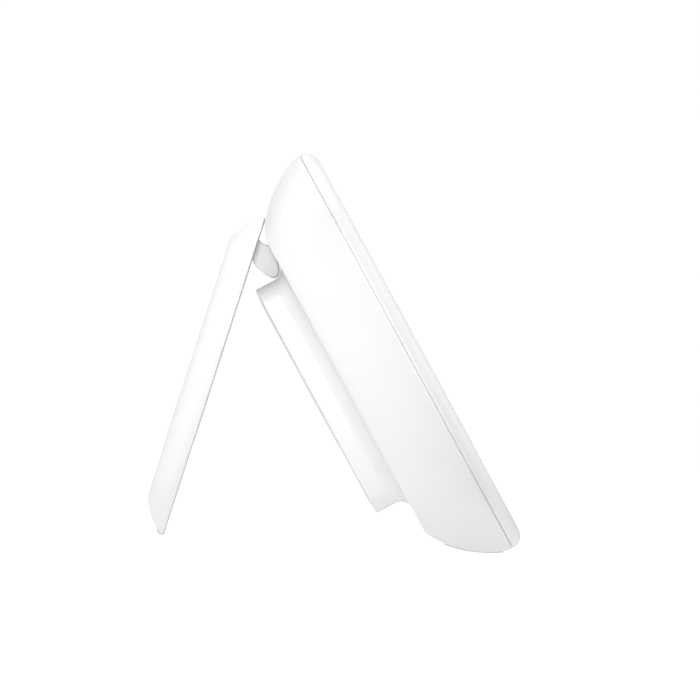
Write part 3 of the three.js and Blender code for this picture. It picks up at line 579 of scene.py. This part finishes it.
def grille_holes():
    """Two hexagonal fields of small holes."""
    steps = range(-GRILLE_ROWS, GRILLE_ROWS + 1)
    field = (GRILLE_ROWS + 0.1) * GRILLE_PITCH
    holes = []
    for side in (-1, 1):
        for row in steps:
            for column in steps:
                x = (column + row / 2) * GRILLE_PITCH
                z = row * GRILLE_PITCH * sin(radians(60))
                if hypot(x, z) < field:
                    holes.append(flared_hole(GRILLE_HOLE, side * SPEAKER_X + x, SPEAKER_Z + z,
                                             INNER_BACK - 1, BODY_D, 0.2, 16))
    return holes


def port_hole(x, y, width, height, radius):
    """A cutter that runs up Z through the raised block's lower wall. It flares at its mouth."""
    flare, steps = 0.35, 4
    low, high = HUMP_BOTTOM - 8, HUMP_BOTTOM + WALL + 0.6

    def outline(grow, z):
        points = ring(width + 2 * grow, height + 2 * grow, radius + grow, 0, y, x, 6)
        return [(px, py, z) for px, _, py in points]

    rings = [outline(flare, low), outline(flare, HUMP_BOTTOM)]
    for i in range(1, steps + 1):
        angle = radians(90 * i / steps)
        rings.append(outline(flare * (1 - sin(angle)), HUMP_BOTTOM + flare * sin(angle)))
    rings.append(outline(0, high))
    return loft("port", rings)


def key_width(name):
    """The power key is round, and the others are long."""
    return BUTTON_H if name == "power" else BUTTON_W


def key_ring(name, z, y, grow, steps):
    """A key's outline, whose ends are all but half circles."""
    radius = BUTTON_H / 2 + grow - 0.01
    return ring(key_width(name) + 2 * grow, BUTTON_H + 2 * grow, radius, y, z, BUTTON_X, steps)


def button_holes():
    bend, wide = BUTTON_MOUTH * 0.3, BUTTON_GAP + BUTTON_MOUTH
    section = [(INNER_BACK - 1, BUTTON_GAP), (BODY_D - BUTTON_MOUTH, BUTTON_GAP),
               (BODY_D - bend, BUTTON_GAP + bend), (BODY_D, wide), (BODY_D + 1, wide)]
    return [loft("hole", [key_ring(name, z, y, grow, 10) for y, grow in section])
            for name, z in BUTTON_ROWS.items()]


def bottom_flank(y, offset):
    """A [y, z] point on the case's lower flank at depth y, pushed outwards by offset."""
    def height(at):
        return flank_reach((at - HOUSING_FRONT) / HOUSING_D, DOME_POWER, DOME_REACH) - BODY_H / 2

    step = 0.05
    slope = (height(y + step) - height(y - step)) / (2 * step)
    length = hypot(1, slope)
    return (y + offset * slope / length, height(y) - offset / length)


def flank_band(y0, y1, inner, outer, steps=24):
    """A [y, z] strip along the case's lower flank, from the inner to the outer offset."""
    stations = [y0 + (y1 - y0) * i / steps for i in range(steps + 1)]
    return [bottom_flank(y, outer) for y in stations] + [bottom_flank(y, inner) for y in reversed(stations)]


def foot_pockets():
    profile = flank_band(FOOT_FROM - SEAM, FOOT_TO + SEAM, -(FOOT_SUNK + FOOT_PLAY), 4)
    half = FOOT_HALF + SEAM
    return [bar("pocket", profile, side * FOOT_MID - half, side * FOOT_MID + half) for side in (-1, 1)]


def screw_holes():
    """The wells in the back, the holes that rise to just under their screws' heads, and the bracket's holes."""
    holes = []
    for x, z in corners_at(WELL_X, WELL_Z):
        holes.append(flared_hole(WELL_BORE, x, z, WELL_BOTTOM + WELL_FLOOR, BODY_D, 0.4, 40))
        holes.append(rod(WELL_SCREW_BORE, x, z, WELL_BOTTOM - 1, WELL_BOTTOM + WELL_SCREW_DEPTH))
    for x in (-BRACKET_SCREW_X, BRACKET_SCREW_X):
        holes.append(rod(BRACKET_SCREW_BORE, x, BRACKET_SCREW_Z, 10, 16))
    return holes


def rear_shell():
    shell = rear_skin()
    for wall in bay_walls():
        add(shell, wall)
    for x, z in corners_at(WELL_X, WELL_Z):
        add(shell, rod(WELL_R, x, z, WELL_BOTTOM, BODY_D - WALL / 2))
    half = ARM_W / 2 + BAY_SIDE
    cut(shell, bar("bay", bay_outline(0), -half, half))
    ports = [port_hole(*port) for port in PORTS]
    cut(shell, *grille_holes(), *ports, *button_holes(), *screw_holes())
    cut(shell, *foot_pockets())
    return place(shell, SLAB, "frame_body", WHITE, "white_shell", "rear_housing")


# ---------------------------------------------------------------- front bezel and display
def opening_ring(y, grow):
    return ring(OPENING_W + 2 * grow, OPENING_H + 2 * grow, OPENING_R + grow, y)


def panel_frame_rings():
    """The frame round the panel: down its outer side, over its end, and up its inner side to the lip."""
    width, height, radius = PANEL_FRAME_W, PANEL_FRAME_H, PANEL_FRAME_R
    wall = PANEL_FRAME_WALL
    rings = [ring(width, height, radius, y) for y in (BEZEL_PLATE, PANEL_FRAME_END)]
    rings += [ring(width - 2 * wall, height - 2 * wall, radius - 1, y) for y in (PANEL_FRAME_END, BEZEL_LIP)]
    return rings


def front_bezel():
    """A ring moulding whose section closes on itself: face, rounded edge, tongue, panel frame and lip."""
    bevel_angles = [radians(a) for a in range(15, 91, 15)]
    face = [opening_ring(OPENING_BEVEL * (1 - sin(a)), OPENING_BEVEL * (1 - cos(a))) for a in bevel_angles]
    edge_angles = [radians(a) for a in range(0, 91, 5)]
    edge = [(BEZEL_DEPTH * (1 - cos(a)), BEZEL_EDGE * (1 - sin(a))) for a in edge_angles]
    outside = [body_ring(y, inset) for y, inset in edge if y < BEZEL_DEPTH - SEAM_EDGE]
    outside += [body_ring(BEZEL_DEPTH - SEAM_EDGE * 0.3, SEAM_EDGE * 0.3), body_ring(BEZEL_DEPTH, SEAM_EDGE)]
    tongue = [(BEZEL_DEPTH, TONGUE_OUT), (TONGUE_END, TONGUE_OUT), (TONGUE_END, TONGUE_IN),
              (BEZEL_DEPTH, TONGUE_IN), (BEZEL_PLATE, PLATE_INSET)]
    back = [body_ring(y, inset) for y, inset in tongue] + panel_frame_rings() + [opening_ring(BEZEL_LIP, 0)]
    bezel = loft("front_trim", face + outside + back, closed=True)
    for x, z in corners_at(POST_X, POST_Z):
        add(bezel, rod(POST_R, x, z, BEZEL_PLATE - 0.5, PANEL_FRAME_END))
    cut(bezel, *[rod(POST_BORE, x, z, POST_BORE_START, 8) for x, z in corners_at(POST_X, POST_Z)])
    return place(bezel, SLAB, "frame_body", WHITE, "white_shell", "front_bezel")


def screen():
    """Cover glass with softened edges, and the black border printed behind it."""
    softening = ((GLASS_FRONT, 0.3), (GLASS_FRONT + 0.08, 0.09), (GLASS_FRONT + 0.3, 0), (GLASS_BACK, 0))
    glass = loft("cover_glass", [ring(GLASS_W - 2 * inset, GLASS_H - 2 * inset, GLASS_R - inset, y)
                                 for y, inset in softening])
    place(glass, SLAB, "frame_body", GLASS, "window_glass", "screen_window")
    outer = (GLASS_W - BORDER_PLAY, GLASS_H - BORDER_PLAY, GLASS_R)
    inner = (SCREEN_W, SCREEN_H, SCREEN_R)
    section = ((outer, BORDER_FRONT), (inner, BORDER_FRONT), (inner, BORDER_BACK), (outer, BORDER_BACK))
    border = loft("printed_border", [ring(*outline, y) for outline, y in section], closed=True)
    place(border, SLAB, "frame_body", BLACK, "gasket_foam")


# ---------------------------------------------------------------- stand
def stand_skin():
    """The hollow dish as one stack of rings: up its inside, round its lip, and back over its outside."""
    inner_front = RIM_Y - 1
    inner_depth = RIM_Y + STAND_D - STAND_BACK_WALL - inner_front
    inside = [stand_ring(inner_front + inner_depth, STAND_WALL + STAND_INNER_REACH)]
    for along, inwards in reversed(flank(STAND_POWER, 20)[:-1]):
        y = inner_front + inner_depth * along
        if y > RIM_Y + 0.2:
            inside.append(stand_ring(y, STAND_WALL + STAND_INNER_REACH * inwards))
    start = flank_reach((RIM_Y - inner_front) / inner_depth, STAND_POWER, STAND_INNER_REACH)
    inside.append(stand_ring(RIM_Y, STAND_WALL + start))
    rim = []
    for angle in (radians(a) for a in range(80, -1, -16)):
        depth = STAND_LIP * (1 - sin(angle))
        inset = STAND_LIP * (1 - cos(angle)) + flank_reach(depth / STAND_D, STAND_POWER, STAND_REACH)
        rim.append(stand_ring(RIM_Y + depth, inset))
    outer = [stand_ring(RIM_Y + STAND_D * along, STAND_REACH * inwards)
             for along, inwards in flank(STAND_POWER, 40) if STAND_D * along > STAND_LIP * 1.15]
    return loft("stand_shell", inside + rim + outer)


def stand_shell():
    cover = stand_skin()
    boss_end = RIM_Y + STAND_D - 0.8
    for x in (-FLANGE_SCREW_X, FLANGE_SCREW_X):
        add(cover, rod(FLANGE_BOSS, x, FLANGE_Z, FLANGE_BOSS_START, boss_end))
    cut(cover, *[rod(FLANGE_BOSS_BORE, x, FLANGE_Z, FLANGE_BOSS_START - 0.6, FLANGE_BOSS_START + 2.4)
                 for x in (-FLANGE_SCREW_X, FLANGE_SCREW_X)])
    half = STAND_FOOT_HALF + SEAM
    slot_back, slot_top = RIM_Y + STAND_SLOT_DEPTH, STAND_SLOT_HEIGHT - STAND_H / 2
    cut(cover, brick((-half, RIM_Y - 1, -60), (half, slot_back, slot_top)))
    return place(cover, STAND, "stand", WHITE, "white_shell", "stand_cover")


def from_pin(points):
    """Turns (down, out) distances from the hinge pin into [y, z] points."""
    return [(PIVOT_Y + out, PIVOT_Z - down) for down, out in points]


def hinge_arm():
    """A curved lug from the pin's barrel to a tongue and a flange, which lie inside the stand."""
    half = ARM_W / 2
    root = RIM_Y + STAND_D - STAND_BACK_WALL - SEAM - PIVOT_Y
    lug = from_pin([(-1.6, 2.4), (2.3, 6.7), (2.5, 9.4), (1.4, 10.8), (1.4, 13.2), (6.7, 13.2),
                    (8.1, 11.5), (9.3, 10.3), (10.5, 8.9), (11.4, 6.6), (12.1, 4.4), (12.3, 2.9),
                    (11.9, 1.8), (10.9, 1.25), (9.6, 1.15), (8.3, 1.6), (7, 2.4), (5.4, 3.5), (2.4, 0.4)])
    tongue = from_pin([(1.5, 11.9), (1.5, 13.4), (2.9, 16.6), (5.8, root), (6.6, root), (6.6, 11.9)])
    arm = bar("arm", softened(lug, 3), -half, half, ARM_EDGE)
    add(arm, bar("tongue", tongue, -half + 1.5, half - 1.5))
    add(arm, bar("barrel", pin_circle(ARM_BARREL), -half, half, ARM_EDGE))
    add(arm, slab_block(FLANGE_W, FLANGE_H, FLANGE_R, FLANGE_FRONT, FLANGE_BACK, 0, FLANGE_Z))
    cut(arm, bar("bore", pin_circle(PIN_R + PIN_PLAY, 32), -30, 30))
    cut(arm, *[rod(FLANGE_HOLE, x, FLANGE_Z, 30, 45) for x in (-FLANGE_SCREW_X, FLANGE_SCREW_X)])
    return place(arm, STAND, "stand", ARM_WHITE, "hinge_arm", "hinge_arm")


# ---------------------------------------------------------------- feet
def feet():
    """Pads that follow the case's lower flank, cut off flat where they stand on the table."""
    profile = flank_band(FOOT_FROM, FOOT_TO, -FOOT_SUNK, FOOT_PROUD - 0.02)
    for name, side in (("foot_left", -1), ("foot_right", 1)):
        middle = side * FOOT_MID
        pad = bar(f"{name}_pad", profile, middle - FOOT_HALF, middle + FOOT_HALF, FOOT_EDGE, 4)
        pad.data.transform(SLAB)
        table = brick((-200, -200, -20), (200, 200, 0))
        table.data.transform(Matrix.Scale(MM, 4))
        cut(pad, table)
        place(pad, Matrix.Identity(4), "frame_body", RUBBER, "soft_foot", name)


# ---------------------------------------------------------------- buttons
def button_cap(name, z):
    section = [(BUTTON_FLANGE_FRONT, BUTTON_FLANGE), (BUTTON_FLANGE_BACK, BUTTON_FLANGE)]
    section.append((BUTTON_FLANGE_BACK, 0.0))
    for angle in (radians(a) for a in range(0, 91, 15)):
        section.append((BUTTON_TOP - BUTTON_EDGE * (1 - sin(angle)), -BUTTON_EDGE * (1 - cos(angle))))
    cap = loft(f"{name}_cap", [key_ring(name, z, y, grow, 12) for y, grow in section])
    add(cap, rod(BUTTON_STEM, BUTTON_X, z, BUTTON_STEM_START, 25))
    return place(cap, SLAB, f"{name}_key", CAP_WHITE, "button_cap", f"{name}_button")


def triangle(x, z, size, way):
    """A closed [x, z] outline of an arrowhead that points along X, to the side that way says."""
    return [(x - way * size, z - size), (x + way * size * 0.8, z), (x - way * size, z + size)]


def strip(x, z, width, height):
    return [(x - width / 2, z - height / 2), (x + width / 2, z - height / 2),
            (x + width / 2, z + height / 2), (x - width / 2, z + height / 2)]


def broken_circle(x, z, radius, line, gap, steps=28):
    """A circle drawn with a line of some width, open at the top by gap degrees."""
    turns = [radians(90 + gap / 2 + (360 - gap) * i / steps) for i in range(steps + 1)]
    outer = [(x + (radius + line / 2) * cos(a), z + (radius + line / 2) * sin(a)) for a in turns]
    inner = [(x + (radius - line / 2) * cos(a), z + (radius - line / 2) * sin(a)) for a in turns]
    return outer + inner[::-1]


def button_mark(name, z):
    """The sign on a key: an on-off circle, a list, two arrowheads or an arrow, printed thinly on the cap."""
    signs = {
        "power": [broken_circle(0, -0.1, 1.0, MARK_LINE, 80), strip(0, 0.65, MARK_LINE, 1.3)],
        "menu": [strip(0, step * 0.85, 3.0, MARK_LINE) for step in (-1, 0, 1)],
        "previous": [triangle(0.1, 0, 1.1, 1)],
        "next": [triangle(-0.1, 0, 1.1, -1)],
        "back": [triangle(0.9, 0, 0.9, 1), strip(-0.7, 0, 1.6, MARK_LINE)],
    }
    parts = []
    for outline in signs[name]:
        layers = (BUTTON_TOP - MARK_SUNK, BUTTON_TOP + MARK_PROUD)
        parts.append(loft("sign", [[(BUTTON_X + px, y, z + pz) for px, pz in outline] for y in layers]))
    return place(join(f"{name}_mark", parts), SLAB, f"{name}_key", INK, "button_cap")


# ---------------------------------------------------------------- CAD pieces that keep their shape
KEPT = {
    "window_gasket": FOAM, "lcd_panel": PANEL, "backlight_unit": ALUMINIUM, "chassis": ALUMINIUM,
    "display_ribbon": FILM, "main_board": BOARD, "button_board": BOARD, "processor_shield": STEEL,
    "wifi_module": STEEL, "usb_port": STEEL, "card_socket": STEEL, "ribbon_connector": BLACK,
    "power_jack": BLACK, "hinge_bracket": HINGE_STEEL, "hinge_pin": HINGE_STEEL,
    "wave_washer_left": HINGE_STEEL, "wave_washer_right": HINGE_STEEL, "stand_foot": RUBBER,
}


def paint_kept_nodes():
    for name, made in frame["nodes"].items():
        material = KEPT.get(name)
        if "screw" in name:
            material = SCREW_STEEL
        elif "switch" in name or "speaker" in name:
            material = BLACK
        if material:
            made.data.materials.clear()
            made.data.materials.append(material)


# ---------------------------------------------------------------- room, lights and camera
# the room and the lights, in metres and degrees
ROOM_HALF, FLOOR_THICK = 9, 0.02
FLOOR_GLOW, FLOOR_BOUNCE, FLOOR_FILL = 0.5, 0.3, 0.63
BACKDROP, SURROUND = 1.02, 0.08
SUN_SPREAD = 60
SUNS = (("overhead", 2.02, (0, 0, 1)), ("behind", 1.22, (0, 1, 0.45)),
        ("before", 0.91, (0, -1, 0.45)), ("beyond", 0.52, (1, 0, 0.4)))

# two soft beams from the left: strength, the y and z that each one's middle passes through, and its radius
BEAM_TO, BEAM_LENGTH, BEAM_TILT, BEAM_SOFTNESS = -0.1, 1.4, 0.04, 0.06
BEAMS = (("beam_wide", 28.5, (0.03, 0.09), 0.15), ("beam_narrow", 13.0, (0.026, 0.088), 0.055))

# the camera: width of the view in metres, lens and sensor, the middle of the view in the slab frame's
# millimetres, and how far the case leans in the picture, in degrees
VIEW_WIDTH, LENS, SENSOR = 0.2333, 1400.0, 36.0
AIM_Y, AIM_Z, PICTURE_LEAN = 20.9, 9.4, 28.49


def seen_only(tree, for_camera, for_light):
    """A mix that shows one shader to the camera and lights the scene with another."""
    path = tree.nodes.new("ShaderNodeLightPath")
    mix = tree.nodes.new("ShaderNodeMixShader")
    tree.links.new(path.outputs["Is Camera Ray"], mix.inputs["Fac"])
    tree.links.new(for_light, mix.inputs[1])
    tree.links.new(for_camera, mix.inputs[2])
    return mix.outputs["Shader"]


def place_light(name, data, position, toward):
    """Puts a lamp at position. It shines back along toward, which points from the object to the light."""
    lamp = bpy.data.objects.new(name, data)
    bpy.context.scene.collection.objects.link(lamp)
    lamp.location = position
    lamp.rotation_euler = (-Vector(toward)).to_track_quat("-Z", "Y").to_euler()
    lamp.visible_camera = False


def floor():
    """A pale floor that glows a little, so that its edge doesn't show against the white backdrop."""
    half = ROOM_HALF
    corners = ((-half, -half), (half, -half), (half, half), (-half, half))
    slab = loft("floor", [[(x, y, z) for x, y in corners] for z in (-FLOOR_THICK, 0.0)])
    material, shader = new_material("floor_white", (0.93, 0.93, 0.93), 0.9)
    shader.inputs["Specular IOR Level"].default_value = 0.1
    shader.inputs["Emission Color"].default_value = (1.0, 1.0, 1.0, 1.0)
    shader.inputs["Emission Strength"].default_value = FLOOR_GLOW
    bounce = node(material, "ShaderNodeBsdfDiffuse")
    bounce.inputs["Color"].default_value = (FLOOR_BOUNCE, FLOOR_BOUNCE, FLOOR_BOUNCE, 1.0)
    fill = node(material, "ShaderNodeEmission", Strength=FLOOR_FILL)
    both = node(material, "ShaderNodeAddShader")
    tree = material.node_tree
    tree.links.new(bounce.outputs["BSDF"], both.inputs[0])
    tree.links.new(fill.outputs["Emission"], both.inputs[1])
    shown = seen_only(tree, shader.outputs["BSDF"], both.outputs["Shader"])
    tree.links.new(shown, tree.nodes["Material Output"].inputs["Surface"])
    slab.data.materials.append(material)


def surround():
    """A white backdrop to the camera, and a faint white glow from all sides to the object."""
    world = bpy.data.worlds.new("surround")
    world.use_nodes = True
    bpy.context.scene.world = world
    tree = world.node_tree
    backdrop = tree.nodes["Background"]
    glow = tree.nodes.new("ShaderNodeBackground")
    for background, strength in ((backdrop, BACKDROP), (glow, SURROUND)):
        background.inputs["Color"].default_value = (1.0, 1.0, 1.0, 1.0)
        background.inputs["Strength"].default_value = strength
    shown = seen_only(tree, backdrop.outputs["Background"], glow.outputs["Background"])
    tree.links.new(shown, tree.nodes["World Output"].inputs["Surface"])


def lamps():
    """Four broad suns for the top, the back, the front and the far side, and the beams for the near side."""
    for name, energy, toward in SUNS:
        data = bpy.data.lights.new(name, "SUN")
        data.energy = energy
        data.angle = radians(SUN_SPREAD)
        place_light(name, data, (0, 0, 1), toward)
    toward = Vector((-BEAM_LENGTH, BEAM_TILT, BEAM_TILT))
    for name, energy, (y, z), radius in BEAMS:
        data = bpy.data.lights.new(name, "SPOT")
        data.energy = energy
        data.shadow_soft_size = BEAM_SOFTNESS
        data.spot_size = 2 * atan2(radius, BEAM_LENGTH)
        data.spot_blend = 1.0
        place_light(name, data, Vector((BEAM_TO, y, z)) + toward, toward)


def camera():
    """A long lens level with the frame's left side, rolled by the few degrees that the picture is turned."""
    data = bpy.data.cameras.new("camera")
    data.lens, data.sensor_width = LENS, SENSOR
    data.clip_start, data.clip_end = 0.1, 50.0
    made = bpy.data.objects.new("camera", data)
    bpy.context.scene.collection.objects.link(made)
    distance = VIEW_WIDTH * LENS / SENSOR
    made.location = SLAB @ Vector((0.0, AIM_Y, AIM_Z)) - Vector((distance, 0.0, 0.0))
    level = Matrix.Rotation(radians(-90), 4, "Z") @ Matrix.Rotation(radians(90), 4, "X")
    roll = Matrix.Rotation(lean - radians(PICTURE_LEAN), 4, "Z")
    made.rotation_euler = (level @ roll).to_euler()
    bpy.context.scene.camera = made


camera()
floor()
surround()
lamps()
bpy.context.scene.view_settings.view_transform = "Standard"
rear_shell()
front_bezel()
screen()
stand_shell()
hinge_arm()
feet()
for row, height in BUTTON_ROWS.items():
    button_cap(row, height)
    button_mark(row, height)
paint_kept_nodes()
